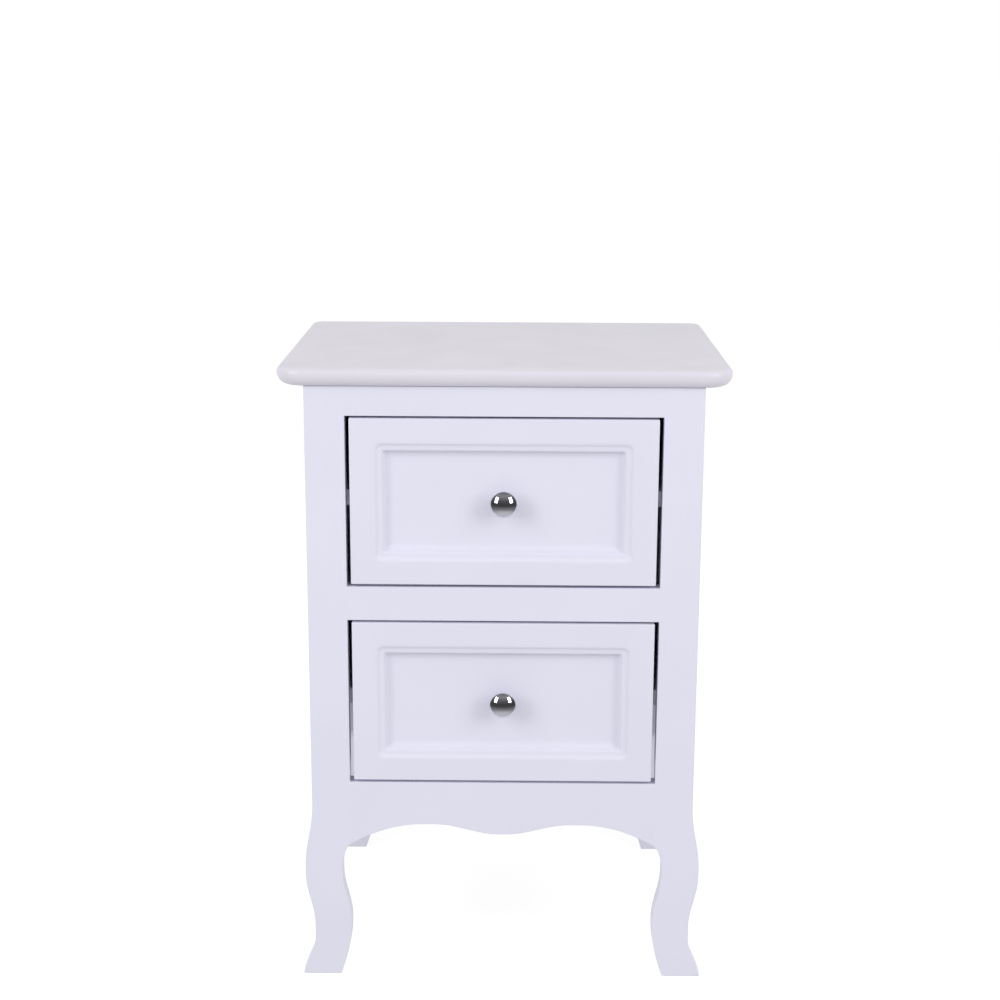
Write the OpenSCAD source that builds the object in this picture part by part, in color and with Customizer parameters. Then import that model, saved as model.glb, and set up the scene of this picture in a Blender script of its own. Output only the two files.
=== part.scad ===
// Two-drawer nightstand with plank cabriole legs, wooden side runners and
// routed drawer fronts. Millimetres, +Z up, the drawers face -Y.
// The origin is on the floor, under the middle of the overall box.

/* [Table top] */
// Width of the top board
top_w = 396; // [394:1:420]
// Depth of the top board
top_d = 310; // [308:1:330]
// Thickness of the top board
top_t = 16; // [16:0.5:20]
// Overhang of the top past the cabinet front
top_front = 8; // [6:1:12]
// Overhang of the top past the cabinet's rear face
top_back = 8; // [6:1:12]
// Radius of the top board's front corners, seen from above
top_corner_r = 25; // [14:1:28]
// Radius of the top board's rear corners, seen from above
top_back_r = 12; // [11:0.5:28]
// Rounding along the upper edge of the top board
top_upper_r = 5; // [3:0.5:5]
// Rounding along the lower edge of the top board
top_lower_r = 10.5; // [8:0.5:10.5]

/* [Cabinet] */
// Overall height
height = 571.5; // [566:0.5:600]
// Width of the cabinet across the legs
cab_w = 347; // [345:1:360]
// Width of a leg plank
leg_w = 35; // [34:0.5:36]
// Thickness of the leg planks, rails and aprons
frame_t = 15; // [14:0.5:16]
// Thickness of the side panels
panel_t = 12; // [12:0.5:14]
// Step of the side panels behind the legs' outer edges
panel_step = 2; // [1:0.5:3]
// Thickness of the back panel
back_t = 5; // [4:0.5:5]
// Height of the lower drawer opening above the floor
opening_z = 191.5; // [190:0.5:196]
// Height of each drawer opening
opening_h = 153.5; // [152.5:0.5:154.5]
// Height of the rail between the drawers
mid_rail_h = 31; // [28:1:33]

/* [Legs and aprons] */
// Outward swell of the knee
knee = 7.2; // [4:0.2:8]
// Height of the knee above the floor
knee_z = 106; // [104:1:108]
// Outward flare of the foot, at its virtual end below the floor
flare = 12; // [8:0.2:13]
// Height of the ankle above the floor
ankle_z = 44; // [42:1:46]
// Height of the middle drop of the apron above the floor
drop_z = 141; // [138:0.5:144]
// Height of the apron's two arches above the floor
arch_z = 150.5; // [148:0.5:152]

/* [Drawers] */
// Side gap between a drawer front and its opening
side_gap = 3.9; // [3:0.1:4]
// Height of a drawer front
front_h = 149; // [148.5:0.5:150]
// Thickness of a drawer front
front_t = 16; // [16:0.5:18]
// How far a drawer front stands out of the cabinet front
front_proud = 1.5; // [0.5:0.5:2.5]
// Width of the flat border round the sunken panel
border = 20; // [18:0.5:22]
// Width of the moulding between the border and the sunken panel
mould_w = 15.5; // [14:0.5:16]
// Depth of the sunken panel
recess = 8; // [8:0.5:8.5]
// Thickness of the drawer sides and back
box_t = 12; // [12:0.5:13]
// Length of the drawer sides
side_len = 235; // [220:1:240]
// Thickness of the drawer bottom
bottom_t = 4; // [3:0.5:4]

/* [Runners] */
// Height of a runner
runner_h = 14.5; // [13:0.5:15]
// Depth of the groove that a drawer side has for its runner
groove_d = 6.5; // [6:0.5:7]

/* [Knobs] */
// Diameter of a knob
knob_d = 24; // [20:0.5:25]
// Length of a knob from its seat to its crown
knob_l = 20.5; // [20:0.5:27]

/* [Hidden] */
$fn = 48;

white = [0.93, 0.93, 0.96];
raw_white = [0.88, 0.88, 0.90];
pine = [0.86, 0.74, 0.56];
steel = [0.72, 0.73, 0.75];
chrome = [0.85, 0.86, 0.88];

// Heights
body_h = height - top_t;              // underside of the top board
mid_z = opening_z + opening_h;        // lower edge of the middle rail
upper_z = mid_z + mid_rail_h;         // lower edge of the upper opening
top_rail_z = upper_z + opening_h;     // lower edge of the top rails
// Half widths
hw = cab_w/2;                         // outer edge of the leg planks
ow = hw - leg_w;                      // edge of the drawer openings
px = hw - panel_step;                 // outer face of the side panels
pi = px - panel_t;                    // inner face of the side panels
// Depths from the cabinet front
cab_d = top_d - top_front - top_back; // rear face of the cabinet
rear_y = cab_d - frame_t;             // front face of the rear planks
back_y = rear_y - back_t;             // front face of the back panel
seat_y = -front_proud + recess;       // floor of the sunken panels
y0 = -(seat_y - knob_l + cab_d + top_back)/2; // brings the overall box to the origin
// Drawers
fw = ow - side_gap;                   // half width of a drawer front
bw = ow - 4.5;                        // outer face of the drawer sides
bi = bw - box_t;                      // inner face of the drawer sides
front_back = -front_proud + front_t;  // rear face of a drawer front
box_end = front_back + side_len;      // rear end of a drawer
side_lo = 10;                         // drawer sides start this far up
side_h = 130;
bot_lo = 16;                          // underside of the drawer bottom
slot_d = 5;                           // grooves for the drawer bottom
drawer_gap = 2.6;                     // gap under a drawer front
drawer_z = [opening_z + drawer_gap, upper_z + drawer_gap];
runner_c = 75;                        // runner centre above the front's edge
runner_x = bw - groove_d + 0.5;       // inner face of the runners
// Fastener sizes
dow_r = 3;                            // dowels
slack = 0.05;                         // holes are this much larger
rail_dow_z = [top_rail_z + 9, top_rail_z + 18, mid_z + 8, mid_z + 23,
              150, opening_z - 12];
rear_dow_z = [top_rail_z + 9, top_rail_z + 18, 150, opening_z - 12];
panel_dow_z = [205, 355, 505];
panel_dow_x = pi + panel_t/2;
back_screw_z = [205, 290, 360, 430, 515];
runner_screw_y = [55, 145, 235];
block_s = 28;                         // plan size of a corner block
block_h = 22;
block_c = block_s/2;
top_screw_x = pi - block_c;
top_screw_y = [frame_t + block_c, back_y - block_c];

// Smooth step from 0 to 1
function ease(t) = t <= 0 ? 0 : t >= 1 ? 1 : (1 - cos(180*t))/2;
// Smooth curve through a list of [height, offset] stations
function along(s, z, i = 0) =
  (z <= s[i + 1][0] || i >= len(s) - 2)
    ? s[i][1] + (s[i + 1][1] - s[i][1])*ease((z - s[i][0])/(s[i + 1][0] - s[i][0]))
    : along(s, z, i + 1);
// Lower edge of an apron, x from the middle of a span whose half is w
function apron_edge(x, w) =
  let (u = abs(x)*138.5/w)
  u < 62 ? drop_z + (arch_z - drop_z)*ease((u - 3)/59)
  : u < 72 ? arch_z
  : arch_z - 0.0045*pow(u - 72, 2);
apron_end = apron_edge(1, 1);
// Point on a cubic curve
function bezier(a, b, c, d, t) =
  pow(1 - t, 3)*a + 3*t*pow(1 - t, 2)*b + 3*t*t*(1 - t)*c + t*t*t*d;

outer = [[-8, flare], [ankle_z - 6, -0.7], [ankle_z + 6, -0.75],
         [knee_z - 6, knee], [knee_z + 2, knee], [168, 0]];
inner = [[-50, flare*1.8], [ankle_z + 6, 0.3], [ankle_z + 10, 0.3],
         [knee_z - 4, knee + 0.7], [knee_z + 1, knee + 0.8], [168, knee + 0.8]];

// Outline of a right leg plank in the X-Z plane
module leg_outline() {
  polygon(concat(
    [for (i = [0:56]) [hw + along(outer, i*3), i*3]],
    [[hw, body_h], [ow, body_h]],
    [for (i = [0:8]) bezier([ow, apron_end], [ow + 5, apron_end - 3],
                            [ow + knee + 0.7, knee_z + 10], [ow + knee + 0.8, knee_z], i/8)],
    [for (i = [1:35]) [ow + along(inner, knee_z - i*3), knee_z - i*3]],
    [[ow + along(inner, 0), 0]]
  ));
}

module upright(y, t) {
  translate([0, y + t, 0]) rotate([90, 0, 0]) linear_extrude(t) children();
}
module at_origin() {
  translate([0, y0, 0]) children();
}
module on_side(s) {
  if (s < 0) mirror([1, 0, 0]) children();
  else children();
}

// Round bar along X, Y or Z starting at p
module bar_x(p, r, l) { translate(p) rotate([0, 90, 0]) cylinder(r = r, h = l); }
module bar_y(p, r, l) { translate(p) rotate([-90, 0, 0]) cylinder(r = r, h = l); }
module bar_z(p, r, l) { translate(p) cylinder(r = r, h = l); }

// Pan-head screw along +Z, underside of the head at z = 0
module pan_screw(r, l, hr, hh) {
  difference() {
    union() {
      cylinder(r = r, h = l - 2*r);
      translate([0, 0, l - 2*r]) cylinder(r1 = r, r2 = 0.3, h = 2*r);
      translate([0, 0, -hh*0.5]) cylinder(r = hr, h = hh*0.5);
      translate([0, 0, -hh]) cylinder(r1 = hr*0.72, r2 = hr, h = hh*0.5);
    }
    for (a = [0, 90]) rotate([0, 0, a])
      translate([-hr*0.5, -hr*0.11, -hh - 1]) cube([hr, hr*0.22, 1 + hh*0.6]);
  }
}
// Countersunk screw along +Z, top of the head at z = 0
module flat_screw(r, l, hr) {
  difference() {
    union() {
      cylinder(r1 = hr, r2 = r, h = hr - r + 0.4);
      translate([0, 0, hr - r + 0.4]) cylinder(r = r, h = l - hr - r - 0.4);
      translate([0, 0, l - 2*r]) cylinder(r1 = r, r2 = 0.3, h = 2*r);
    }
    for (a = [0, 90]) rotate([0, 0, a])
      translate([-hr*0.5, -hr*0.11, -1]) cube([hr, hr*0.22, 2.1]);
  }
}

// ---------- cabinet ----------

// Section of the top board's edge, from the corner centre outwards
module edge_section(r) {
  polygon(concat(
    [[0, 0], [r - top_lower_r, 0]],
    [for (i = [1:10]) [r - top_lower_r + top_lower_r*sin(9*i),
                       top_lower_r*(1 - cos(9*i))]],
    [for (i = [0:6]) [r - top_upper_r + top_upper_r*cos(15*i),
                      top_t - top_upper_r + top_upper_r*sin(15*i)]],
    [[0, top_t]]
  ));
}
module top_half(r) {
  cx = top_w/2 - r;
  cy = top_d/2 - r;
  translate([-cx, 0, 0]) rotate([90, 0, 90])
    linear_extrude(2*cx) edge_section(top_d/2);
  for (s = [-1, 1]) on_side(s) {
    translate([0, cy, 0]) rotate([90, 0, 0])
      linear_extrude(cy) edge_section(top_w/2);
    translate([cx, cy, 0]) rotate_extrude(angle = 90) edge_section(r);
  }
}
module top_panel() {
  color(white) at_origin()
  translate([0, top_d/2 - top_front, body_h]) difference() {
    union() {
      top_half(top_back_r);
      mirror([0, 1, 0]) top_half(top_corner_r);
    }
    translate([0, top_front - top_d/2, 0]) {
      for (s = [-1, 1], y = top_screw_y)
        bar_z([s*top_screw_x, y, -1], 1.95 + slack, 12.5);
      for (s = [-1, 1], y = [frame_t/2, rear_y + frame_t/2])
        bar_z([s*panel_dow_x, y, -1], dow_r + slack, 10.5);
    }
  }
}

// Leg plank on side s, front face at y; d is +1 where the side panel is behind
module leg(s, y, d, dz) {
  color(white) at_origin() on_side(s) difference() {
    upright(y, frame_t) leg_outline();
    for (z = dz) bar_x([ow - 1, y + frame_t/2, z], dow_r + slack, 16.5);
    for (z = panel_dow_z)
      bar_y([panel_dow_x, d > 0 ? y + frame_t - 10.5 : y - 1, z],
            dow_r + slack, 11.5);
    bar_z([panel_dow_x, y + frame_t/2, body_h - 15.5], dow_r + slack, 16.5);
    if (d < 0) for (z = back_screw_z)
      bar_y([ow + leg_w*0.3, y - 1, z], 1.5 + slack, 12);
  }
}
module front_leg_left() leg(-1, 0, 1, rail_dow_z);
module front_leg_right() leg(1, 0, 1, rail_dow_z);
module rear_leg_left() leg(-1, rear_y, -1, rear_dow_z);
module rear_leg_right() leg(1, rear_y, -1, rear_dow_z);

// Rail between two leg planks
module rail(y, z, h, dz) {
  color(white) at_origin() difference() {
    translate([-ow, y, z]) cube([2*ow, frame_t, h]);
    for (s = [-1, 1], k = dz) on_side(s)
      bar_x([ow - 15.5, y + frame_t/2, k], dow_r + slack, 16.5);
  }
}
module top_front_rail() rail(0, top_rail_z, body_h - top_rail_z, [rail_dow_z[0], rail_dow_z[1]]);
module middle_front_rail() rail(0, mid_z, mid_rail_h, [rail_dow_z[2], rail_dow_z[3]]);
module rear_top_rail() {
  difference() {
    rail(rear_y, top_rail_z, body_h - top_rail_z, [rear_dow_z[0], rear_dow_z[1]]);
    at_origin() bar_y([0, rear_y - 1, body_h - 13], 1.5 + slack, 12);
  }
}

// Apron with two arches and a middle drop
module apron(y) {
  n = 70;
  color(white) at_origin() difference() {
    upright(y, frame_t) polygon(concat(
      [[ow, opening_z], [-ow, opening_z]],
      [for (i = [0:n]) let (x = -ow + 2*ow*i/n) [x, apron_edge(x, ow)]]
    ));
    for (s = [-1, 1], k = [150, opening_z - 12]) on_side(s)
      bar_x([ow - 15.5, y + frame_t/2, k], dow_r + slack, 16.5);
  }
}
module front_apron() apron(0);
module rear_apron() {
  difference() {
    apron(rear_y);
    at_origin() bar_y([0, rear_y - 1, opening_z - 15], 1.5 + slack, 12);
  }
}

// Side panel between the leg planks, shaped along its lower edge
module side_panel(s) {
  n = 60;
  l = rear_y - frame_t;
  color(white) at_origin() on_side(s) difference() {
    translate([pi, 0, 0]) rotate([90, 0, 90]) linear_extrude(panel_t)
      polygon(concat(
        [[rear_y, body_h], [frame_t, body_h]],
        [for (i = [0:n]) let (u = -l/2 + l*i/n)
          [frame_t + l/2 + u, apron_edge(u, l/2)]]
      ));
    for (z = panel_dow_z) {
      bar_y([panel_dow_x, frame_t - 1, z], dow_r + slack, 16.5);
      bar_y([panel_dow_x, rear_y - 15.5, z], dow_r + slack, 16.5);
    }
    for (k = drawer_z, y = runner_screw_y)
      bar_x([pi - 1, y, k + runner_c], 1.95 + slack, 9.5);
  }
}
module side_panel_left() side_panel(-1);
module side_panel_right() side_panel(1);

module back_panel() {
  color(raw_white) at_origin() difference() {
    translate([-pi, back_y, opening_z - 27])
      cube([2*pi, back_t, body_h - opening_z + 27]);
    for (s = [-1, 1], z = back_screw_z)
      bar_y([s*(ow + leg_w*0.3), back_y - 1, z], 1.5 + slack, back_t + 2);
    for (z = [body_h - 13, opening_z - 15])
      bar_y([0, back_y - 1, z], 1.5 + slack, back_t + 2);
  }
}
module back_panel_screws() {
  color(steel) at_origin() {
    for (s = [-1, 1], z = back_screw_z)
      translate([s*(ow + leg_w*0.3), back_y, z]) rotate([-90, 0, 0])
        pan_screw(1.5, 15, 3, 1.6);
    for (z = [body_h - 13, opening_z - 15])
      translate([0, back_y, z]) rotate([-90, 0, 0]) pan_screw(1.5, 15, 3, 1.6);
  }
}

// Wooden runner for the drawer side, screwed to the side panel
module runner(s, k) {
  c = drawer_z[k] + runner_c;
  color(white) at_origin() on_side(s) difference() {
    translate([runner_x, frame_t, c - runner_h/2])
      cube([pi - runner_x, back_y - frame_t, runner_h]);
    for (y = runner_screw_y) {
      bar_x([runner_x - 1, y, c], 4.2, 6.5);
      bar_x([runner_x, y, c], 1.95 + slack, pi - runner_x + 1);
    }
  }
}
module upper_runner_left() runner(-1, 1);
module upper_runner_right() runner(1, 1);
module lower_runner_left() runner(-1, 0);
module lower_runner_right() runner(1, 0);
module runner_screws() {
  color(steel) at_origin()
    for (s = [-1, 1], k = drawer_z, y = runner_screw_y)
      on_side(s) translate([runner_x + 5.5, y, k + runner_c])
        rotate([0, 90, 0]) pan_screw(1.95, 34, 3.9, 2.4);
}

// Block glued in a top corner; the top board is screwed down through it
module corner_block(s, y) {
  color(pine) at_origin() on_side(s) difference() {
    translate([pi - block_s, y, body_h - block_h]) {
      difference() {
        cube([block_s, block_s, block_h]);
        // the corner that faces the cabinet is cut off
        translate([0, y < cab_d/2 ? block_s : 0, -1]) rotate([0, 0, 45])
          translate([-9, -9, 0]) cube([18, 18, block_h + 2]);
      }
    }
    bar_z([top_screw_x, y + block_c, body_h - block_h - 1], 1.95 + slack, block_h + 2);
  }
}
module corner_block_front_left() corner_block(-1, frame_t);
module corner_block_front_right() corner_block(1, frame_t);
module corner_block_rear_left() corner_block(-1, back_y - block_s);
module corner_block_rear_right() corner_block(1, back_y - block_s);
module top_screws() {
  color(steel) at_origin() for (s = [-1, 1], y = top_screw_y)
    translate([s*top_screw_x, y, body_h - block_h]) pan_screw(1.95, 33, 3.9, 2.4);
}

module rail_dowels() {
  color(pine) at_origin() for (s = [-1, 1]) {
    for (z = rail_dow_z) on_side(s)
      bar_x([ow - 15, frame_t/2, z], dow_r, 30);
    for (z = rear_dow_z) on_side(s)
      bar_x([ow - 15, rear_y + frame_t/2, z], dow_r, 30);
  }
}
module panel_dowels() {
  color(pine) at_origin() for (s = [-1, 1], z = panel_dow_z) on_side(s) {
    bar_y([panel_dow_x, frame_t - 10, z], dow_r, 25);
    bar_y([panel_dow_x, rear_y - 15, z], dow_r, 25);
  }
}
module top_dowels() {
  color(pine) at_origin()
    for (s = [-1, 1], y = [frame_t/2, rear_y + frame_t/2])
      bar_z([s*panel_dow_x, y, body_h - 15], dow_r, 24);
}

// ---------- drawers ----------

// Half section of the sunken panel's moulding: [inset from border, depth]
cut = [[0, -1], [0, 0], [1.6, 0.16], [2.3, 0.42], [2.9, 0.82], [3.4, 1.22],
       [4, 1.56], [4.8, 1.8], [5.8, 1.98], [7.8, 2.24], [8.4, 2.5], [8.9, 3.1],
       [9.7, 4.8], [10.8, 6.35], [12.9, 7.5], [mould_w, recess]];
// Opening of the recess with half size w, as depth against width
module recess_section(w) {
  polygon(concat(
    [for (p = cut) [w - border - p[0], p[1]]],
    [for (i = [len(cut) - 1:-1:0]) [-(w - border - cut[i][0]), cut[i][1]]]
  ));
}
// Slab outline with eased front edges, as depth against width
module eased_section(w) {
  polygon([[-w, front_t], [-w, 1.4], [-w + 0.4, 0.4], [-w + 1.4, 0],
           [w - 1.4, 0], [w - 0.4, 0.4], [w, 1.4], [w, front_t]]);
}
// Two extrusions of depth sections, crossed, give mitred corners
module crossed(hx, hz) {
  intersection() {
    translate([0, 0, -hz - 5]) linear_extrude(2*hz + 10) children(0);
    translate([-hx - 5, 0, 0]) rotate([90, 0, 90]) linear_extrude(2*hx + 10)
      mirror([1, -1]) children(1);
  }
}
module drawer_front(k) {
  hz = front_h/2;
  z = drawer_z[k];
  color(white) at_origin() difference() {
    translate([0, -front_proud, z + hz]) difference() {
      crossed(fw, hz) { eased_section(fw); eased_section(hz); }
      crossed(fw, hz) { recess_section(fw); recess_section(hz); }
    }
    // knob screw
    bar_y([0, seat_y - 1, z + hz], 2 + slack, front_t);
    // groove for the bottom
    translate([-bi - slot_d, front_back - slot_d, z + bot_lo - 0.1])
      cube([2*(bi + slot_d), slot_d + 1, bottom_t + 0.2]);
    for (s = [-1, 1], h = [40, 115])
      bar_y([s*(bi + box_t/2), front_back - 8.5, z + h], dow_r + slack, 10);
  }
}
module drawer_side(s, k) {
  z = drawer_z[k];
  color(white) at_origin() on_side(s) difference() {
    translate([bi, front_back, z + side_lo]) cube([box_t, side_len, side_h]);
    // groove for the runner
    translate([bw - groove_d, front_back - 1, z + runner_c - runner_h/2 - 0.8])
      cube([groove_d + 1, side_len + 2, runner_h + 1]);
    // groove for the bottom
    translate([bi - 1, front_back - 1, z + bot_lo - 0.1])
      cube([slot_d + 1, side_len + 2, bottom_t + 0.2]);
    for (h = [40, 115])
      bar_y([bi + box_t/2, front_back - 1, z + h], dow_r + slack, 21.5);
    // screws into the drawer back
    for (h = [45, 110]) {
      bar_x([bi - 1, box_end - box_t/2, z + h], 1.75 + slack, box_t + 2);
      translate([bw - 2.45, box_end - box_t/2, z + h]) rotate([0, 90, 0])
        cylinder(r1 = 1.75 + slack, r2 = 3.77 + slack, h = 2.451);
    }
  }
}
module drawer_back(k) {
  z = drawer_z[k];
  b = bot_lo + bottom_t;
  color(white) at_origin() difference() {
    translate([-bi, box_end - box_t, z + b])
      cube([2*bi, box_t, side_lo + side_h - b]);
    for (s = [-1, 1], h = [45, 110]) on_side(s)
      bar_x([bi - 19, box_end - box_t/2, z + h], 1.75 + slack, 20);
    for (x = [-80, 0, 80])
      bar_z([x, box_end - box_t/2, z + b - 1], 1.5 + slack, 14);
  }
}
module drawer_bottom(k) {
  z = drawer_z[k];
  color(raw_white) at_origin() difference() {
    translate([-bi - slot_d + 0.2, front_back - slot_d + 0.2, z + bot_lo])
      cube([2*(bi + slot_d - 0.2), side_len + slot_d - 0.2, bottom_t]);
    for (x = [-80, 0, 80])
      bar_z([x, box_end - box_t/2, z + bot_lo - 1], 1.5 + slack, bottom_t + 2);
  }
}
// Turned knob on the floor of the sunken panel, with a shallow domed crown
module knob(k) {
  r = knob_d/2;
  rim = 2;                            // rounding of the crown's edge
  lean = 48;                          // slope where the crown meets the rim
  crown = (r - rim + rim*sin(lean))/sin(lean);
  rim_h = knob_l - crown*(1 - cos(lean)) - rim*cos(lean);
  color(chrome) at_origin()
  translate([0, seat_y, drawer_z[k] + front_h/2]) rotate([90, 0, 0])
  difference() {
    rotate_extrude() polygon(concat(
      [[0, 0], [6.5, 0], [6.5, 1], [5.6, 2], [4.6, 3.8], [4.3, 6]],
      [for (i = [0:6]) [4.6 + (r - 5.95)*(1 - cos(15*i)),
                        8 + (rim_h - 9.88)*sin(15*i)]],
      [for (i = [1:8]) [r - rim + rim*sin(160 - 14*i),
                        rim_h + rim*cos(160 - 14*i)]],
      [for (i = [1:8]) [crown*sin(lean*(1 - i/8)),
                        knob_l - crown*(1 - cos(lean*(1 - i/8)))]]
    ));
    translate([0, 0, -1]) cylinder(r = 2 + slack, h = 13.5);
  }
}
module knob_screw(k) {
  color(steel) at_origin()
  translate([0, front_back, drawer_z[k] + front_h/2]) rotate([90, 0, 0])
    pan_screw(2, front_back - seat_y + 12, 4.2, 2.2);
}
module drawer_dowels(k) {
  color(pine) at_origin() for (s = [-1, 1], h = [40, 115])
    bar_y([s*(bi + box_t/2), front_back - 8, drawer_z[k] + h], dow_r, 28);
}
module drawer_screws(k) {
  color(steel) at_origin() for (s = [-1, 1], h = [45, 110]) on_side(s)
    translate([bw - 0.2, box_end - box_t/2, drawer_z[k] + h])
      rotate([0, -90, 0]) flat_screw(1.75, 29.5, 3.6);
}
module bottom_screws(k) {
  color(steel) at_origin() for (x = [-80, 0, 80])
    translate([x, box_end - box_t/2, drawer_z[k] + bot_lo])
      pan_screw(1.5, 16, 2.8, 1.6);
}

module upper_drawer_front() drawer_front(1);
module upper_drawer_side_left() drawer_side(-1, 1);
module upper_drawer_side_right() drawer_side(1, 1);
module upper_drawer_back() drawer_back(1);
module upper_drawer_bottom() drawer_bottom(1);
module upper_knob() knob(1);
module upper_knob_screw() knob_screw(1);
module upper_drawer_dowels() drawer_dowels(1);
module upper_drawer_screws() drawer_screws(1);
module upper_bottom_screws() bottom_screws(1);
module lower_drawer_front() drawer_front(0);
module lower_drawer_side_left() drawer_side(-1, 0);
module lower_drawer_side_right() drawer_side(1, 0);
module lower_drawer_back() drawer_back(0);
module lower_drawer_bottom() drawer_bottom(0);
module lower_knob() knob(0);
module lower_knob_screw() knob_screw(0);
module lower_drawer_dowels() drawer_dowels(0);
module lower_drawer_screws() drawer_screws(0);
module lower_bottom_screws() bottom_screws(0);

top_panel();
front_leg_left();
front_leg_right();
rear_leg_left();
rear_leg_right();
top_front_rail();
middle_front_rail();
front_apron();
rear_top_rail();
rear_apron();
side_panel_left();
side_panel_right();
back_panel();
upper_runner_left();
upper_runner_right();
lower_runner_left();
lower_runner_right();
runner_screws();
corner_block_front_left();
corner_block_front_right();
corner_block_rear_left();
corner_block_rear_right();
top_screws();
rail_dowels();
panel_dowels();
top_dowels();
back_panel_screws();
upper_drawer_front();
upper_drawer_side_left();
upper_drawer_side_right();
upper_drawer_back();
upper_drawer_bottom();
upper_knob();
upper_knob_screw();
upper_drawer_dowels();
upper_drawer_screws();
upper_bottom_screws();
lower_drawer_front();
lower_drawer_side_left();
lower_drawer_side_right();
lower_drawer_back();
lower_drawer_bottom();
lower_knob();
lower_knob_screw();
lower_drawer_dowels();
lower_drawer_screws();
lower_bottom_screws();
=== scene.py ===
import math
import bpy
import bmesh
from mathutils import Matrix, Vector


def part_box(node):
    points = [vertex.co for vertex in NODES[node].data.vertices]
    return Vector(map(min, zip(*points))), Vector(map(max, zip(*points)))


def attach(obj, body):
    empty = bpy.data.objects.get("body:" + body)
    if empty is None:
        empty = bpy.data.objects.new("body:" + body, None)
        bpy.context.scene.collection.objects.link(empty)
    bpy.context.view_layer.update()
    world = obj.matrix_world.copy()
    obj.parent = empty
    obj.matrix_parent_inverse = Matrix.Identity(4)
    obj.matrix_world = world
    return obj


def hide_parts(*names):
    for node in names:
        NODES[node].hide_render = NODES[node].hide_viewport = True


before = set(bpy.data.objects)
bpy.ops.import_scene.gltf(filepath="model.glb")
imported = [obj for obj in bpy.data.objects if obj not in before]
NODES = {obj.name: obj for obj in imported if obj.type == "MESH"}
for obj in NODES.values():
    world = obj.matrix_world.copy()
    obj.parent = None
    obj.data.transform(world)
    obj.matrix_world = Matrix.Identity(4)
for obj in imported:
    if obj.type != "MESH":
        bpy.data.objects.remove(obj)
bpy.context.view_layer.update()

MM = 0.001

# ---------------------------------------------------------------- dimensions
# Everything below is in millimetres. y is measured from the cabinet's front
# plane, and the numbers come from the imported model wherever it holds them.


def box_mm(node):
    lo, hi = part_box(node)
    return [v / MM for v in lo], [v / MM for v in hi]


Y0 = box_mm("front_leg_left")[0][1]


def span(node):
    """Box of a CAD node in millimetres, y from the cabinet front."""
    lo, hi = box_mm(node)
    return [lo[0], lo[1] - Y0, lo[2]], [hi[0], hi[1] - Y0, hi[2]]


TOP_LO, TOP_HI = span("top_panel")
RAIL_LO, RAIL_HI = span("top_front_rail")
MID_LO, MID_HI = span("middle_front_rail")
APRON_LO, APRON_HI = span("front_apron")
REAR_LO, REAR_HI = span("rear_leg_right")
BODY_H = TOP_LO[2]
OW = RAIL_HI[0]
FRAME_T = RAIL_HI[1]
HW = OW + 35.0
REAR_Y = REAR_LO[1]
CAB_D = REAR_HI[1]
OPEN_Z = APRON_HI[2]
MID_Z0, MID_Z1 = MID_LO[2], MID_HI[2]
TOPRAIL_Z = RAIL_LO[2]

KNEE, KNEE_Z, FLARE, ANKLE_Z, DROP_Z, ARCH_Z = 7.2, 106.0, 12.0, 44.0, 141.0, 150.5


def ease(t):
    return 0.0 if t <= 0 else 1.0 if t >= 1 else (1 - math.cos(math.pi * t)) / 2


def along(stations, z):
    for (z0, v0), (z1, v1) in zip(stations, stations[1:]):
        if z <= z1:
            return v0 + (v1 - v0) * ease((z - z0) / (z1 - z0))
    return stations[-1][1]


OUTER = [(-8, FLARE), (ANKLE_Z - 6, -0.7), (ANKLE_Z + 6, -0.75),
         (KNEE_Z - 6, KNEE), (KNEE_Z + 2, KNEE), (168, 0)]
INNER = [(-50, FLARE * 1.8), (ANKLE_Z + 6, 0.3), (ANKLE_Z + 10, 0.3),
         (KNEE_Z - 4, KNEE + 0.7), (KNEE_Z + 1, KNEE + 0.8)]


def apron_edge(x, w):
    u = abs(x) * 138.5 / w
    if u < 62:
        return DROP_Z + (ARCH_Z - DROP_Z) * ease((u - 3) / 59)
    if u < 72:
        return ARCH_Z
    return ARCH_Z - 0.0045 * (u - 72) ** 2


APRON_END = apron_edge(OW, OW)


def bezier(a, b, c, d, t):
    return [(1 - t) ** 3 * p + 3 * t * (1 - t) ** 2 * q + 3 * t * t * (1 - t) * r + t ** 3 * s
            for p, q, r, s in zip(a, b, c, d)]


# the leg's inner edge above the knee: x and z of the curve into the apron
SHOULDER = [bezier((OW + KNEE + 0.8, KNEE_Z), (OW + KNEE + 0.7, KNEE_Z + 10),
                   (OW + 5, APRON_END - 3), (OW, APRON_END), i / 14) for i in range(15)]


def leg_inner(z):
    if z <= KNEE_Z:
        return OW + along(INNER, z)
    for (x0, z0), (x1, z1) in zip(SHOULDER, SHOULDER[1:]):
        if z <= z1:
            return x0 + (x1 - x0) * (z - z0) / (z1 - z0)
    return OW


# ---------------------------------------------------------------- materials


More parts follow.
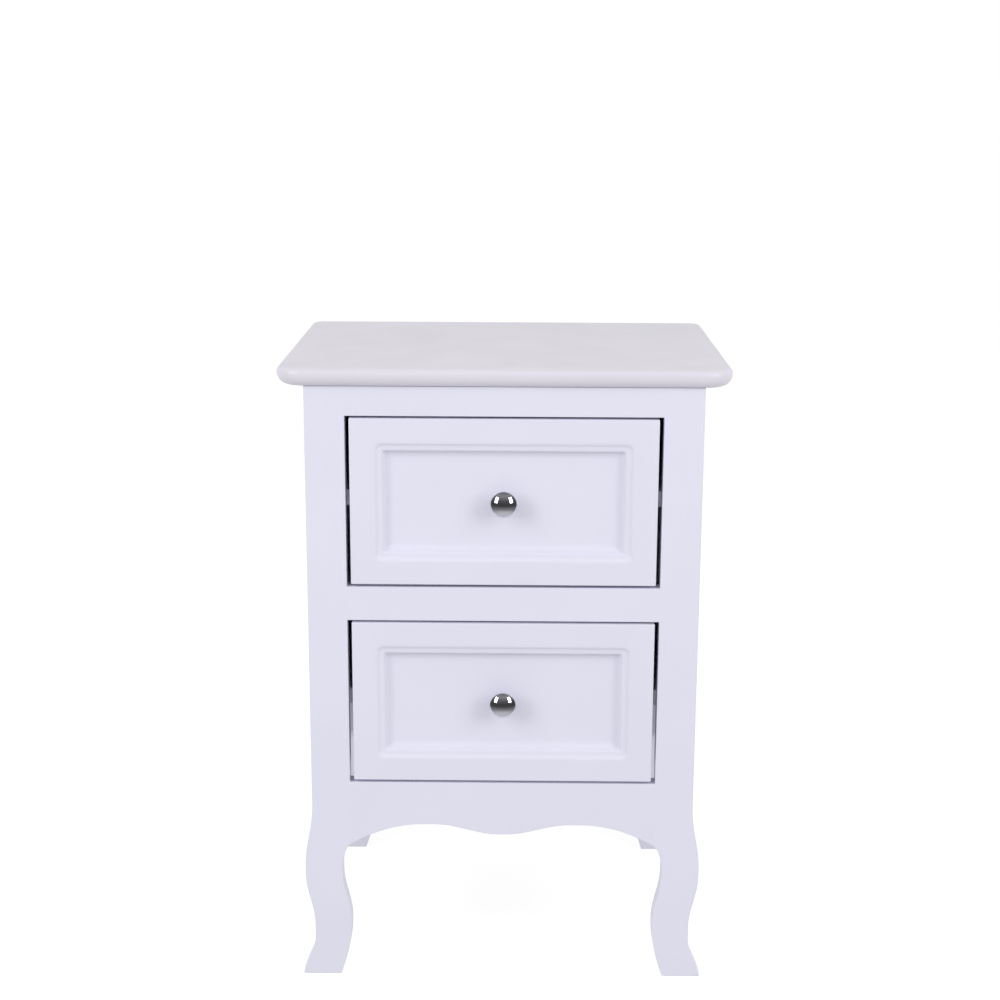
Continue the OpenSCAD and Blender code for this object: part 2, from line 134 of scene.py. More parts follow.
class Tree:
    """Small helper for wiring a material's nodes."""

    def __init__(self, name):
        self.mat = bpy.data.materials.new(name)
        self.mat.use_nodes = True
        self.nt = self.mat.node_tree
        self.nt.nodes.clear()
        self.out = self.add("ShaderNodeOutputMaterial")
        self.bsdf = self.add("ShaderNodeBsdfPrincipled")
        self.link(self.bsdf, "BSDF", self.out, "Surface")
        self.tex = self.add("ShaderNodeTexCoord")

    def add(self, kind, **inputs):
        n = self.nt.nodes.new(kind)
        for k, v in inputs.items():
            n.inputs[k.replace("_", " ")].default_value = v
        return n

    def link(self, a, out, b, inp):
        self.nt.links.new(a.outputs[out], b.inputs[inp])

    def mapping(self, scale, rot=(0, 0, 0), loc=(0, 0, 0)):
        m = self.add("ShaderNodeMapping")
        m.inputs["Scale"].default_value = scale
        m.inputs["Rotation"].default_value = rot
        m.inputs["Location"].default_value = loc
        self.link(self.tex, "Object", m, "Vector")
        return m

    def noise(self, mapping, scale, detail=3.0, rough=0.5, distortion=0.0):
        n = self.add("ShaderNodeTexNoise")
        n.inputs["Scale"].default_value = scale
        n.inputs["Detail"].default_value = detail
        n.inputs["Roughness"].default_value = rough
        n.inputs["Distortion"].default_value = distortion
        self.link(mapping, "Vector", n, "Vector")
        return n

    def ramp(self, src, out, stops):
        r = self.add("ShaderNodeValToRGB")
        e = r.color_ramp.elements
        e[0].position, e[0].color = stops[0][0], stops[0][1]
        e[1].position, e[1].color = stops[-1][0], stops[-1][1]
        for p, c in stops[1:-1]:
            el = e.new(p)
            el.color = c
        self.link(src, out, r, "Fac")
        return r

    def maprange(self, src, out, lo, hi, a=0.0, b=1.0):
        m = self.add("ShaderNodeMapRange")
        m.inputs["From Min"].default_value = a
        m.inputs["From Max"].default_value = b
        m.inputs["To Min"].default_value = lo
        m.inputs["To Max"].default_value = hi
        self.link(src, out, m, "Value")
        return m

    def bump(self, src, out, strength, distance, normal=None):
        b = self.add("ShaderNodeBump")
        b.inputs["Strength"].default_value = strength
        b.inputs["Distance"].default_value = distance
        self.link(src, out, b, "Height")
        if normal is not None:
            self.link(normal, "Normal", b, "Normal")
        return b


def grey(v, a=1.0):
    return (v, v, v, a)


def paint(name, light, dark, rough_lo, rough_hi, peel=0.10, seed=0.0, brush_axis=2):
    """Sprayed satin paint on fibreboard: faint cloudiness, orange peel and a
    trace of the board's sanding marks, rubbed a little shinier here and there."""
    t = Tree(name)
    m = t.mapping((1, 1, 1), loc=(seed, seed * 0.7, seed * 1.3))
    cloud = t.noise(m, 9.0, 4.0, 0.55)
    colour = t.ramp(cloud, "Fac", [(0.30, dark), (0.70, light)])
    # the finest specks of dust in the coat
    speck = t.noise(m, 900.0, 2.0, 0.4)
    sp = t.ramp(speck, "Fac", [(0.0, grey(1.0)), (0.70, grey(1.0)), (0.80, grey(0.955))])
    mix = t.add("ShaderNodeMix")
    mix.data_type = "RGBA"
    mix.blend_type = "MULTIPLY"
    mix.inputs["Factor"].default_value = 1.0
    t.nt.links.new(colour.outputs["Color"], mix.inputs[6])
    t.nt.links.new(sp.outputs["Color"], mix.inputs[7])
    t.nt.links.new(mix.outputs[2], t.bsdf.inputs["Base Color"])
    patches = t.noise(m, 26.0, 3.0, 0.6)
    rough = t.maprange(patches, "Fac", rough_lo, rough_hi, 0.3, 0.7)
    t.link(rough, "Result", t.bsdf, "Roughness")
    scale = [1.0, 1.0, 1.0]
    scale[brush_axis] = 0.06
    sand = t.noise(t.mapping(tuple(scale)), 1400.0, 2.0, 0.5)
    b0 = t.bump(sand, "Fac", 0.05, 0.00006)
    orange = t.noise(m, 420.0, 2.0, 0.45)
    b1 = t.bump(orange, "Fac", peel, 0.00018, b0)
    wave = t.noise(m, 34.0, 2.0, 0.5)
    b2 = t.bump(wave, "Fac", 0.16, 0.0006, b1)
    t.link(b2, "Normal", t.bsdf, "Normal")
    t.bsdf.inputs["IOR"].default_value = 1.46
    t.bsdf.inputs["Specular IOR Level"].default_value = 0.42
    return t.mat


def pine(name, axis, light, dark, seed=0.0):
    """Unfinished softwood with growth rings running along one axis."""
    t = Tree(name)
    sc = [1.0, 1.0, 1.0]
    sc[axis] = 0.07
    m = t.mapping(tuple(sc), loc=(seed, seed, seed))
    warp = t.noise(m, 22.0, 3.0, 0.5)
    rings = t.add("ShaderNodeTexWave")
    rings.wave_type = "BANDS"
    rings.bands_direction = "X" if axis != 0 else "Y"
    rings.inputs["Scale"].default_value = 42.0
    rings.inputs["Distortion"].default_value = 5.5
    rings.inputs["Detail"].default_value = 2.5
    rings.inputs["Detail Scale"].default_value = 1.4
    t.link(m, "Vector", rings, "Vector")
    colour = t.ramp(rings, "Fac", [(0.0, light), (0.62, light), (1.0, dark)])
    fibre = t.noise(m, 700.0, 3.0, 0.6)
    fine = t.ramp(fibre, "Fac", [(0.25, grey(0.86)), (0.75, grey(1.0))])
    mix = t.add("ShaderNodeMix")
    mix.data_type = "RGBA"
    mix.blend_type = "MULTIPLY"
    mix.inputs["Factor"].default_value = 1.0
    t.nt.links.new(colour.outputs["Color"], mix.inputs[6])
    t.nt.links.new(fine.outputs["Color"], mix.inputs[7])
    t.nt.links.new(mix.outputs[2], t.bsdf.inputs["Base Color"])
    rough = t.maprange(warp, "Fac", 0.55, 0.75, 0.3, 0.7)
    t.link(rough, "Result", t.bsdf, "Roughness")
    b = t.bump(fibre, "Fac", 0.25, 0.0001)
    b = t.bump(rings, "Fac", 0.2, 0.00015, b)
    t.link(b, "Normal", t.bsdf, "Normal")
    return t.mat


def metal(name, base, rough_lo, rough_hi, fine=1200.0, bump=0.02):
    t = Tree(name)
    m = t.mapping((1, 1, 1))
    n = t.noise(m, 160.0, 4.0, 0.6)
    colour = t.ramp(n, "Fac", [(0.3, tuple(c * 0.94 for c in base[:3]) + (1,)), (0.7, base)])
    t.link(colour, "Color", t.bsdf, "Base Color")
    rough = t.maprange(n, "Fac", rough_lo, rough_hi, 0.3, 0.7)
    t.link(rough, "Result", t.bsdf, "Roughness")
    t.bsdf.inputs["Metallic"].default_value = 1.0
    f = t.noise(m, fine, 2.0, 0.5)
    b = t.bump(f, "Fac", bump, 0.00005)
    t.link(b, "Normal", t.bsdf, "Normal")
    return t.mat


LIGHT = (0.775, 0.77, 0.89, 1)
SHADE = (0.755, 0.75, 0.87, 1)
paint_z = paint("white_paint_upright", LIGHT, SHADE, 0.34, 0.46, seed=0.0, brush_axis=2)
paint_x = paint("white_paint_rails", LIGHT, SHADE, 0.34, 0.46, seed=1.7, brush_axis=0)
# painted shade: the top board uses the same white paint, made darker and less blue here to stand in for the
# dimmer light that falls on the top face
top_paint_shaded = paint("white_top_with_painted_shade", (0.745, 0.715, 0.795, 1), (0.725, 0.697, 0.775, 1), 0.30, 0.42, peel=0.12, seed=4.1, brush_axis=0)
paint_front = paint("white_paint_drawers", LIGHT, SHADE, 0.32, 0.44, seed=7.3, brush_axis=0)
paint_in = paint("white_inside", (0.79, 0.79, 0.85, 1), (0.75, 0.75, 0.81, 1), 0.45, 0.60,
                 peel=0.2, seed=11.0, brush_axis=1)
runner_paint = paint("white_runner", (0.93, 0.93, 0.96, 1), (0.89, 0.89, 0.92, 1), 0.40, 0.55,
                     peel=0.15, seed=14.0, brush_axis=1)
board = paint("white_hardboard", (0.77, 0.77, 0.80, 1), (0.72, 0.72, 0.75, 1), 0.55, 0.70,
              peel=0.35, seed=17.0, brush_axis=1)
pine_z = pine("raw_pine_block", 2, (0.72, 0.55, 0.34, 1), (0.52, 0.34, 0.17, 1), 0.3)
pine_x = pine("raw_pine_dowel", 0, (0.72, 0.56, 0.36, 1), (0.55, 0.38, 0.20, 1), 0.9)
chrome = metal("chrome_plate", (0.80, 0.79, 0.86, 1), 0.035, 0.075, bump=0.015)
zinc = metal("zinc_plate", (0.62, 0.63, 0.66, 1), 0.28, 0.42, fine=2600.0, bump=0.08)

# ---------------------------------------------------------------- mesh tools


def make(name, verts, faces, mat, body, nodes, sharp=38.0, bevel=None):
    """A piece from points in millimetres. It rides on a body and stands for CAD nodes."""
    me = bpy.data.meshes.new(name)
    me.from_pydata([(x * MM, (y + Y0) * MM, z * MM) for x, y, z in verts], [], faces)
    bm = bmesh.new()
    bm.from_mesh(me)
    bmesh.ops.remove_doubles(bm, verts=bm.verts, dist=2e-7)
    bmesh.ops.recalc_face_normals(bm, faces=bm.faces)
    if bevel:
        edges = [e for e in bm.edges if len(e.link_faces) == 2
                 and e.is_convex and e.calc_face_angle() > math.radians(30)]
        bmesh.ops.bevel(bm, geom=edges, offset=bevel * MM, segments=3, profile=0.5,
                        affect="EDGES", clamp_overlap=True)
    bm.to_mesh(me)
    bm.free()
    ob = bpy.data.objects.new(name, me)
    bpy.context.scene.collection.objects.link(ob)
    me.materials.append(mat)
    finish_mesh(ob, sharp)
    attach(ob, body)
    if nodes:
        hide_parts(*nodes)
    return ob


def finish_mesh(ob, sharp=38.0):
    """Smooth faces, hard edges by angle, and normals that keep the flats flat."""
    me = ob.data
    me.polygons.foreach_set("use_smooth", [True] * len(me.polygons))
    me.set_sharp_from_angle(angle=math.radians(sharp))
    mod = ob.modifiers.new("normals", "WEIGHTED_NORMAL")
    mod.mode = "FACE_AREA"
    mod.weight = 60
    mod.keep_sharp = True
    bake(ob)


def bake(ob):
    dg = bpy.context.evaluated_depsgraph_get()
    dg.update()
    me = bpy.data.meshes.new_from_object(ob.evaluated_get(dg), depsgraph=dg)
    me.name = ob.name
    old = ob.data
    ob.modifiers.clear()
    ob.data = me
    bpy.data.meshes.remove(old)


def loft(sections, caps=True):
    """Closed rings of equal length, joined by quads."""
    n = len(sections[0])
    verts = [p for s in sections for p in s]
    faces = []
    for k in range(len(sections) - 1):
        a, b = k * n, (k + 1) * n
        for i in range(n):
            j = (i + 1) % n
            faces.append((a + i, a + j, b + j, b + i))
    if caps:
        faces.append(tuple(range(n - 1, -1, -1)))
        faces.append(tuple(range(len(verts) - n, len(verts))))
    return verts, faces


def ring_rect(a0, a1, b0, b1, radii, seg=5, mids=0):
    """Rounded rectangle, counter-clockwise from the corner (a0, b0).
    radii are those at (a0,b0), (a1,b0), (a1,b1), (a0,b1)."""
    pts = []
    corners = [(a0, b0, 180, radii[0], 1, 1), (a1, b0, 270, radii[1], -1, 1),
               (a1, b1, 0, radii[2], -1, -1), (a0, b1, 90, radii[3], 1, -1)]
    for cx, cy, start, r, sx, sy in corners:
        ox, oy = cx + sx * r, cy + sy * r
        for i in range(seg + 1):
            t = math.radians(start + 90 * i / seg)
            pts.append((ox + r * math.cos(t), oy + r * math.sin(t)))
    if mids:
        out = []
        m = seg + 1
        for k in range(4):
            out += pts[k * m:(k + 1) * m]
            p, q = pts[(k + 1) * m - 1], pts[((k + 1) * m) % len(pts)]
            for i in range(1, mids + 1):
                t = i / (mids + 1)
                out.append((p[0] + (q[0] - p[0]) * t, p[1] + (q[1] - p[1]) * t))
        pts = out
    return pts


def cut(ob, cutters):
    """Drills holes: each cutter is a list of (point, radius) along a straight axis."""
    made = []
    for path in cutters:
        axis = (Vector(path[-1][0]) - Vector(path[0][0])).normalized()
        u = axis.orthogonal().normalized()
        v = axis.cross(u)
        seg = 40
        secs = []
        for p, r in path:
            secs.append([tuple(Vector(p) + (u * math.cos(2 * math.pi * i / seg)
                                            + v * math.sin(2 * math.pi * i / seg)) * r)
                         for i in range(seg)])
        verts, faces = loft(secs)
        me = bpy.data.meshes.new("cutter")
        me.from_pydata([(x * MM, (y + Y0) * MM, z * MM) for x, y, z in verts], [], faces)
        bm = bmesh.new()
        bm.from_mesh(me)
        bmesh.ops.recalc_face_normals(bm, faces=bm.faces)
        bm.to_mesh(me)
        bm.free()
        c = bpy.data.objects.new("cutter", me)
        bpy.context.scene.collection.objects.link(c)
        made.append(c)
        mod = ob.modifiers.new("hole", "BOOLEAN")
        mod.operation = "DIFFERENCE"
        mod.solver = "EXACT"
        mod.object = c
    bake(ob)
    for c in made:
        me = c.data
        bpy.data.objects.remove(c)
        bpy.data.meshes.remove(me)
    finish_mesh(ob)


# ---------------------------------------------------------------- table top
def rounded_path(x0, x1, y0, y1, front, rear, seg=18, mids=9):
    return ring_rect(x0, x1, y0, y1, (front, front, rear, rear), seg, mids)


def top_board():
    t = TOP_HI[2] - TOP_LO[2]
    z0 = TOP_LO[2]
    R_FRONT, R_REAR = 25.0, 12.0
    ru, rl = 5.0, 10.5
    prof = []
    for i in range(0, 17):
        a = math.radians(90 * i / 16)
        prof.append((rl - rl * math.sin(a), rl - rl * math.cos(a)))
    for i in range(0, 9):
        a = math.radians(90 * i / 8)
        prof.append((ru - ru * math.cos(a), t - ru + ru * math.sin(a)))
    # flat rings inside the rounded edge keep the large faces regular
    inner = [(rl + 1.5, 0.0)]
    rings = [inner[0]] + prof + [(ru + 2.0, t), (ru + 10.0, t)]
    secs = []
    for e, h in rings:
        pts = rounded_path(TOP_LO[0] + e, TOP_HI[0] - e, TOP_LO[1] + e, TOP_HI[1] - e,
                           max(R_FRONT - e, 0.6), max(R_REAR - e, 0.6))
        secs.append([(x, y, z0 + h) for x, y in pts])
    v, f = loft(secs)
    return make("table_top", v, f, top_paint_shaded, "cabinet", ["top_panel"])


top_board()


# ---------------------------------------------------------------- legs
def leg(name, side, y0, y1, node, front):
    zs = [0.0, 0.18, 0.6, 1.2] + [3.0 + 2.4 * i for i in range(0, 43)]
    zs += [z for _, z in SHOULDER[1:]] + [134.0 + 3.0 * i for i in range(0, 12)]
    marks = [OPEN_Z, MID_Z0, MID_Z1, TOPRAIL_Z]
    for m in marks:
        zs += [m - 0.02, m + 0.02]
    zs += [200, 240, 280, 320, 360, 400, 440, 480, 520, 545, BODY_H]
    zs = sorted(set(round(z, 3) for z in zs if z <= BODY_H))
    secs = []
    for z in zs:
        if z < 1.2:
            inset = {0.0: 1.2, 0.18: 0.66, 0.6: 0.2}[z]
        else:
            inset = 0.0
        xi, xo = leg_inner(z), HW + along(OUTER, z)
        if front:
            exposed = (z < APRON_END or OPEN_Z < z < MID_Z0 or MID_Z1 < z < TOPRAIL_Z)
        else:
            exposed = (z < APRON_END or OPEN_Z < z < TOPRAIL_Z)
        out_face = y0 if front else y1
        r_in = 0.5 if exposed else 0.02
        r_out = 1.4
        ra = max(r_in - inset * 0.3, 0.02)
        a = (xi + inset, xo - inset)
        b = (y0 + inset, y1 - inset)
        back = 0.5
        if front:
            radii = (ra, r_out, 0.8, back)
        else:
            radii = (back, 0.8, r_out, ra)
        pts = ring_rect(a[0], a[1], b[0], b[1], radii, 5)
        secs.append([(x * side, y, z) for x, y in pts])
    v, f = loft(secs)
    return make(name, v, f, paint_z, "cabinet", [node])


leg("leg_front_left", -1, 0.0, FRAME_T, "front_leg_left", True)
leg("leg_front_right", 1, 0.0, FRAME_T, "front_leg_right", True)
leg("leg_rear_left", -1, REAR_Y, CAB_D, "rear_leg_left", False)
leg("leg_rear_right", 1, REAR_Y, CAB_D, "rear_leg_right", False)


# ---------------------------------------------------------------- rails
def rail(name, node, lower, front=True, top_round=0.5, low_round=0.5, body="cabinet"):
    lo, hi = span(node)
    n = 2 if lower is None else 96
    secs = []
    for i in range(n + 1):
        x = -OW + 2 * OW * i / n
        z0 = lo[2] if lower is None else lower(x)
        if front:
            radii = (low_round, 0.5, 0.5, top_round)
        else:
            radii = (0.5, low_round, top_round, 0.5)
        pts = ring_rect(lo[1], hi[1], z0, hi[2], radii, 5)
        secs.append([(x, y, z) for y, z in pts])
    v, f = loft(secs)
    return make(name, v, f, paint_x, body, [node])


rail("rail_top_front", "top_front_rail", None, top_round=0.05)
rail("rail_middle", "middle_front_rail", None)
rail("apron_front", "front_apron", lambda x: apron_edge(x, OW))
rail("rail_top_rear", "rear_top_rail", None, front=False, top_round=0.05)
rail("apron_rear", "rear_apron", lambda x: apron_edge(x, OW), front=False)


# ---------------------------------------------------------------- side panels
def side_panel(name, node, side):
    lo, hi = span(node)
    x0, x1 = (lo[0], hi[0]) if side > 0 else (-hi[0], -lo[0])
    half = (hi[1] - lo[1]) / 2
    mid = (hi[1] + lo[1]) / 2
    n = 90
    secs = []
    for i in range(n + 1):
        y = lo[1] + 2 * half * i / n
        z0 = apron_edge(y - mid, half)
        pts = ring_rect(x0, x1, z0, hi[2], (0.6, 1.1, 0.05, 0.05), 5)
        secs.append([(x * side, y, z) for x, z in pts])
    v, f = loft(secs)
    return make(name, v, f, paint_z, "cabinet", [node])


side_panel("panel_left", "side_panel_left", -1)
side_panel("panel_right", "side_panel_right", 1)


def slab(name, node, mat, body, bevel=0.4):
    lo, hi = span(node)
    v = [(x, y, z) for x in (lo[0], hi[0]) for y in (lo[1], hi[1]) for z in (lo[2], hi[2])]
    f = [(0, 1, 3, 2), (4, 6, 7, 5), (0, 4, 5, 1), (2, 3, 7, 6), (0, 2, 6, 4), (1, 5, 7, 3)]
    return make(name, v, f, mat, body, [node], bevel=bevel)


slab("back_board", "back_panel", board, "cabinet", 0.4)

# ---------------------------------------------------------------- runners
for which in ("upper", "lower"):
    for label, side in (("left", -1), ("right", 1)):
        node = "%s_runner_%s" % (which, label)
        ob = slab("runner_%s_%s" % (which, label), node, runner_paint, "cabinet", 0.8)
        lo, hi = span(node)
        x_in = lo[0] if side > 0 else hi[0]
        zc = (lo[2] + hi[2]) / 2
        cut(ob, [[((x_in - side * 1.0, y, zc), 4.2), ((x_in + side * 5.5, y, zc), 4.2)]
                 for y in (55.0, 145.0, 235.0)])

# ---------------------------------------------------------------- drawers
QUIRK = [(0.0, 0.0, 6.0), (0.8, 0.04, 5.9), (1.6, 0.16, 5.7), (2.3, 0.42, 5.4), (2.9, 0.82, 5.1),
         (3.4, 1.22, 4.7), (4.0, 1.56, 4.2), (4.8, 1.80, 3.6), (5.8, 1.98, 3.0), (7.0, 2.12, 2.6),
         (7.8, 2.24, 2.4), (8.4, 2.50, 2.2), (8.9, 3.1, 2.0), (9.3, 3.9, 1.9), (9.7, 4.8, 1.8),
         (10.2, 5.65, 1.7), (10.8, 6.35, 1.6), (11.7, 7.0, 1.5), (12.9, 7.5, 1.4), (14.2, 7.85, 1.3),
         (15.5, 8.0, 1.2)]
BORDER = 20.0


def drawer_front(name, node, body):
    lo, hi = span(node)
    x0, x1, z0, z1 = lo[0], hi[0], lo[2], hi[2]
    yf, yb = lo[1], hi[1]
    rings = [(0.7, yb, 0.5), (0.2, yb - 0.2, 0.6), (0.0, yb - 0.7, 0.8)]
    r = 0.9
    for i in range(0, 7):
        a = math.radians(90 * i / 6)
        rings.append((r - r * math.cos(a), yf + r - r * math.sin(a), 1.0 + 0.6 * (r - r * math.cos(a))))
    rings += [(4.0, yf, 2.0), (BORDER - 2.0, yf, 5.0)]
    for e, d, c in QUIRK:
        rings.append((BORDER + e, yf + d, c))
    deep = yf + QUIRK[-1][1]
    rings += [(BORDER + 18.0, deep, 1.2), (BORDER + 30.0, deep, 1.2)]
    secs = []
    for e, y, c in rings:
        pts = ring_rect(x0 + e, x1 - e, z0 + e, z1 - e, (c, c, c, c), 6, 3)
        secs.append([(x, y, z) for x, z in pts])
    v, f = loft(secs)
    return make(name, v, f, paint_front, body, [node], sharp=50.0)


def extrude_y(profile, y0, y1):
    n = len(profile)
    v = [(x, y0, z) for x, z in profile] + [(x, y1, z) for x, z in profile]
    f = [tuple(range(n)), tuple(range(2 * n - 1, n - 1, -1))]
    f += [(i, i + n, (i + 1) % n + n, (i + 1) % n) for i in range(n)]
    return v, f


def drawer_side(name, node, body, side, z_front):
    lo, hi = span(node)
    x0, x1 = (lo[0], hi[0]) if side > 0 else (-hi[0], -lo[0])
    zc = z_front + 75.0
    g0, g1 = zc - 7.25 - 0.8, zc + 7.25 + 0.2
    b0, b1 = z_front + 15.9, z_front + 20.1
    prof = [(x0, lo[2]), (x1, lo[2]), (x1, g0), (x1 - 6.5, g0), (x1 - 6.5, g1), (x1, g1),
            (x1, hi[2]), (x0, hi[2]), (x0, b1), (x0 + 5.0, b1), (x0 + 5.0, b0), (x0, b0)]
    v, f = extrude_y([(x * side, z) for x, z in prof], lo[1], hi[1])
    ob = make(name, v, f, paint_in, body, [node], bevel=0.6)
    yc = hi[1] - 6.0
    cut(ob, [[((side * (x1 + 0.2), yc, z_front + h), 3.9), ((side * (x1 - 2.4), yc, z_front + h), 1.8),
              ((side * (x0 - 1.0), yc, z_front + h), 1.8)] for h in (45.0, 110.0)])
    return ob


def knob(name, node, body):
    lo, hi = span(node)
    cx, cz = (lo[0] + hi[0]) / 2, (lo[2] + hi[2]) / 2
    seat, tip = hi[1], lo[1]
    L = seat - tip
    R = (hi[0] - lo[0]) / 2
    rim, lean = 2.0, math.radians(48)
    crown = (R - rim + rim * math.sin(lean)) / math.sin(lean)
    rim_h = L - crown * (1 - math.cos(lean)) - rim * math.cos(lean)
    prof = [(0.4, 0.0), (5.9, 0.0), (6.3, 0.1), (6.5, 0.4), (6.5, 0.9), (6.3, 1.3), (5.9, 1.7),
            (5.4, 2.3), (4.9, 3.1), (4.55, 4.2), (4.4, 5.3), (4.4, 6.6)]
    for i in range(0, 13):
        a = math.radians(90 * i / 12)
        prof.append((4.6 + (R - 5.95) * (1 - math.cos(a)), 8 + (rim_h - 9.88) * math.sin(a)))
    for i in range(1, 17):
        a = math.radians(160 - 7 * i)
        prof.append((R - rim + rim * math.sin(a), rim_h + rim * math.cos(a)))
    for i in range(1, 21):
        a = lean * (1 - i / 20)
        prof.append((max(crown * math.sin(a), 0.1), L - crown * (1 - math.cos(a))))
    seg = 72
    secs = []
    for r, h in prof:
        secs.append([(cx + r * math.cos(2 * math.pi * i / seg), seat - h,
                      cz + r * math.sin(2 * math.pi * i / seg)) for i in range(seg)])
    v, f = loft(secs)
    return make(name, v, f, chrome, body, [node], sharp=60.0)


for which in ("upper", "lower"):
    body = which + "_drawer"
    zf = span(which + "_drawer_front")[0][2]
    drawer_front(which + "_front", which + "_drawer_front", body)
    drawer_side(which + "_side_left", which + "_drawer_side_left", body, -1, zf)
    drawer_side(which + "_side_right", which + "_drawer_side_right", body, 1, zf)
    slab(which + "_box_back", which + "_drawer_back", paint_in, body, 0.6)
    slab(which + "_box_bottom", which + "_drawer_bottom", board, body, 0.3)
    knob(which + "_knob_turned", which + "_knob", body)

# ---------------------------------------------------------------- CAD nodes that stay
for n, ob in NODES.items():
    if ob.hide_render:
        continue
    if "dowels" in n:
        mat = pine_x
    elif "corner_block" in n:
        mat = pine_z
    else:
        mat = zinc
    ob.data.materials.clear()
    ob.data.materials.append(mat)

# ---------------------------------------------------------------- stage
floor_me = bpy.data.meshes.new("studio_floor")
S = 40.0
floor_me.from_pydata([(-S, -S, 0), (S, -S, 0), (S, S, 0), (-S, S, 0)], [], [(0, 1, 2, 3)])
floor = bpy.data.objects.new("studio_floor", floor_me)
bpy.context.scene.collection.objects.link(floor)
ft = Tree("pale_floor")
fn = ft.noise(ft.mapping((1, 1, 1)), 3.0, 2.0, 0.5)
fc = ft.ramp(fn, "Fac", [(0.3, grey(0.33)), (0.7, grey(0.35))])
ft.link(fc, "Color", ft.bsdf, "Base Color")
ft.bsdf.inputs["Roughness"].default_value = 0.9
ft.bsdf.inputs["Specular IOR Level"].default_value = 0.0
ft.bsdf.inputs["Emission Color"].default_value = (1, 1, 1, 1)
ft.bsdf.inputs["Emission Strength"].default_value = 0.78
floor_me.materials.append(ft.mat)
floor.visible_diffuse = False
floor.visible_glossy = False


def area(name, loc, target, size, power, colour=(1, 1, 1), size_y=None):
    l = bpy.data.lights.new(name, "AREA")
    l.energy = power
    l.color = colour
    l.shape = "RECTANGLE"
    l.size = size
    l.size_y = size_y or size
    o = bpy.data.objects.new(name, l)
    bpy.context.scene.collection.objects.link(o)
    o.location = loc
    d = Vector(target) - Vector(loc)
    o.rotation_euler = d.to_track_quat("-Z", "Y").to_euler()
    return o


CENTRE = (0.0, 0.0, 0.36)
BOX_AZ, BOX_EL, BOX_DIST, BOX_W = 49.0, 24.0, 2.1, 12.0
for s in (-1, 1):
    az, el = math.radians(BOX_AZ), math.radians(BOX_EL)
    loc = (s * BOX_DIST * math.sin(az) * math.cos(el), -BOX_DIST * math.cos(az) * math.cos(el),
           CENTRE[2] + BOX_DIST * math.sin(el))
    area("softbox_%s" % ("left" if s < 0 else "right"), loc, CENTRE, 0.7, BOX_W,
         (1.0, 1.0, 1.0), 1.25)

world = bpy.data.worlds.new("studio")
bpy.context.scene.world = world
world.use_nodes = True
wn = world.node_tree
wn.nodes.clear()


def wadd(kind):
    return wn.nodes.new(kind)


def wlink(a, out, b, inp):
    wn.links.new(a.outputs[out], b.inputs[inp])


def wbackground(colour, strength=None):
    n = wadd("ShaderNodeBackground")
    n.inputs["Color"].default_value = tuple(colour) + (1,)
    if strength is not None:
        n.inputs["Strength"].default_value = strength
    return n


def wramp(src, out, stops):
    r = wadd("ShaderNodeValToRGB")
    e = r.color_ramp.elements
    e[0].position, e[0].color = stops[0][0], grey(stops[0][1])
    e[1].position, e[1].color = stops[-1][0], grey(stops[-1][1])
    for p, c in stops[1:-1]:
        e.new(p).color = grey(c)
    wlink(src, out, r, "Fac")
    return r


w_out = wadd("ShaderNodeOutputWorld")
geo = wadd("ShaderNodeTexCoord")
sep = wadd("ShaderNodeSeparateXYZ")
wlink(geo, "Generated", sep, "Vector")
half = wadd("ShaderNodeMath")
half.operation = "MULTIPLY_ADD"
half.inputs[1].default_value = 0.5
half.inputs[2].default_value = 0.5
wlink(sep, "Z", half, 0)
# soft fill: the floor's bounce below, the room above
fill = wramp(half, "Value", [(0.0, 0.65), (0.46, 0.68), (0.54, 0.77), (0.68, 0.84), (0.80, 0.80),
                                (0.92, 0.60), (1.0, 0.52)])
w_fill = wbackground((1, 1, 1))
wlink(fill, "Color", w_fill, "Color")
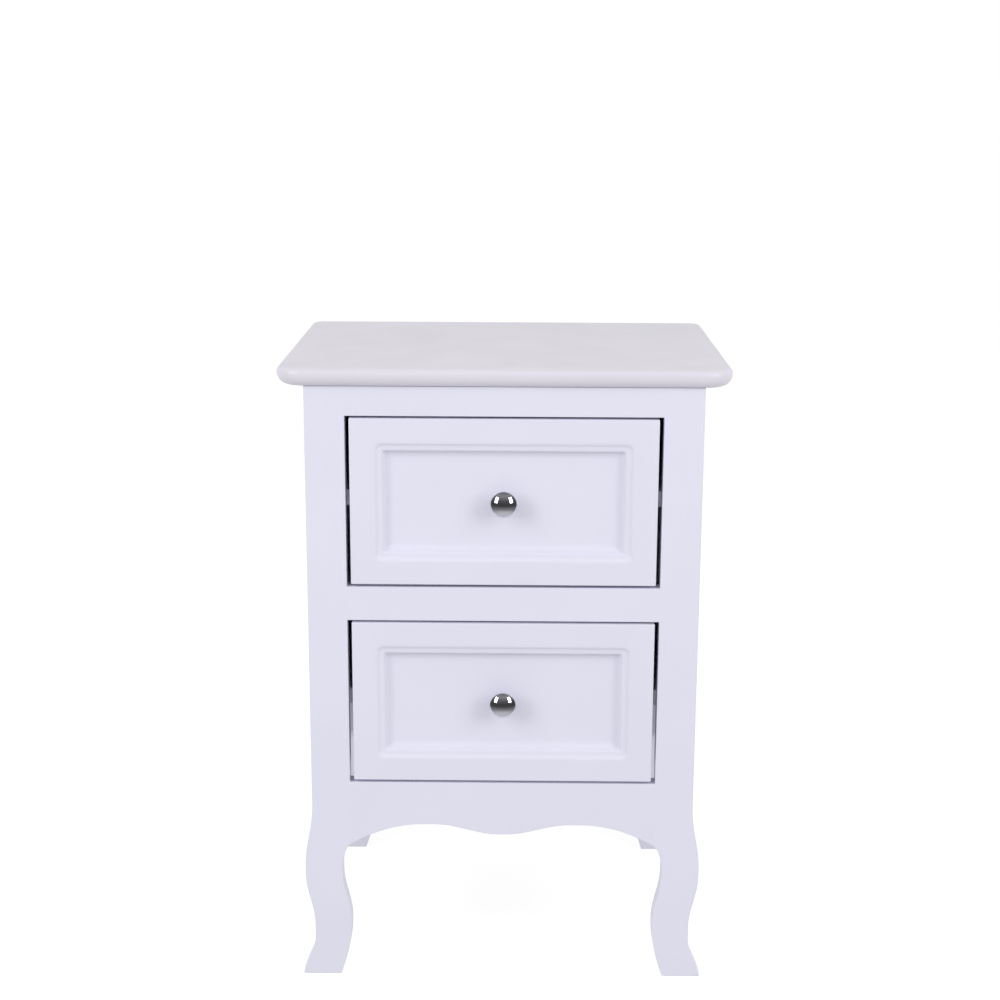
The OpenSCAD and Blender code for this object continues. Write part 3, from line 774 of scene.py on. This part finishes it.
# what glossy surfaces mirror: a pale floor and a dark room in front, white behind
room = wramp(half, "Value", [(0.0, 0.58), (0.05, 0.57), (0.12, 0.46), (0.20, 0.24), (0.30, 0.14), (0.39, 0.06),
                             (0.50, 0.055), (0.58, 0.07), (0.68, 0.10), (0.80, 0.18), (0.90, 0.27),
                             (0.97, 0.20), (1.0, 0.15)])
behind = wadd("ShaderNodeMapRange")
behind.interpolation_type = "SMOOTHSTEP"
behind.inputs["From Min"].default_value = -0.05
behind.inputs["From Max"].default_value = 0.40
wlink(sep, "Y", behind, "Value")
w_room = wbackground((1, 1, 1))
wlink(room, "Color", w_room, "Color")
w_back = wbackground((1, 1, 1), 0.92)
w_mirror = wadd("ShaderNodeMixShader")
wlink(behind, "Result", w_mirror, "Fac")
wn.links.new(w_room.outputs["Background"], w_mirror.inputs[1])
wn.links.new(w_back.outputs["Background"], w_mirror.inputs[2])
w_seen = wbackground((1, 1, 1), 1.0)
path = wadd("ShaderNodeLightPath")
m1 = wadd("ShaderNodeMixShader")
m2 = wadd("ShaderNodeMixShader")
wlink(path, "Is Glossy Ray", m1, "Fac")
wn.links.new(w_fill.outputs["Background"], m1.inputs[1])
wn.links.new(w_mirror.outputs["Shader"], m1.inputs[2])
wlink(path, "Is Camera Ray", m2, "Fac")
wn.links.new(m1.outputs["Shader"], m2.inputs[1])
wn.links.new(w_seen.outputs["Background"], m2.inputs[2])
wlink(m2, "Shader", w_out, "Surface")

# ---------------------------------------------------------------- camera
F_PX, CX, CY, CZ = 1764.81, 9.467, -1499.12, 813.48
YAW, PITCH, ROLL = -0.0085, 0.2343, 0.0044
fwd = Vector((math.sin(YAW) * math.cos(PITCH), math.cos(YAW) * math.cos(PITCH), -math.sin(PITCH)))
right = Vector((math.cos(YAW), -math.sin(YAW), 0))
up = right.cross(fwd)
r2 = right * math.cos(ROLL) + up * math.sin(ROLL)
u2 = up * math.cos(ROLL) - right * math.sin(ROLL)
cam = bpy.data.cameras.new("camera")
cam.sensor_width = 36.0
cam.sensor_fit = "HORIZONTAL"
cam.lens = F_PX * 36.0 / 1000.0
cam.clip_start = 0.05
cam.clip_end = 100.0
cam_ob = bpy.data.objects.new("camera", cam)
bpy.context.scene.collection.objects.link(cam_ob)
rot = Matrix((r2, u2, -fwd)).transposed().to_4x4()
cam_ob.matrix_world = Matrix.Translation((CX * MM, (CY + Y0) * MM, CZ * MM)) @ rot
bpy.context.scene.camera = cam_ob

bpy.context.scene.view_settings.view_transform = "Standard"
bpy.context.scene.view_settings.look = "None"
bpy.context.scene.view_settings.exposure = 0.0
bpy.context.scene.view_settings.gamma = 1.0
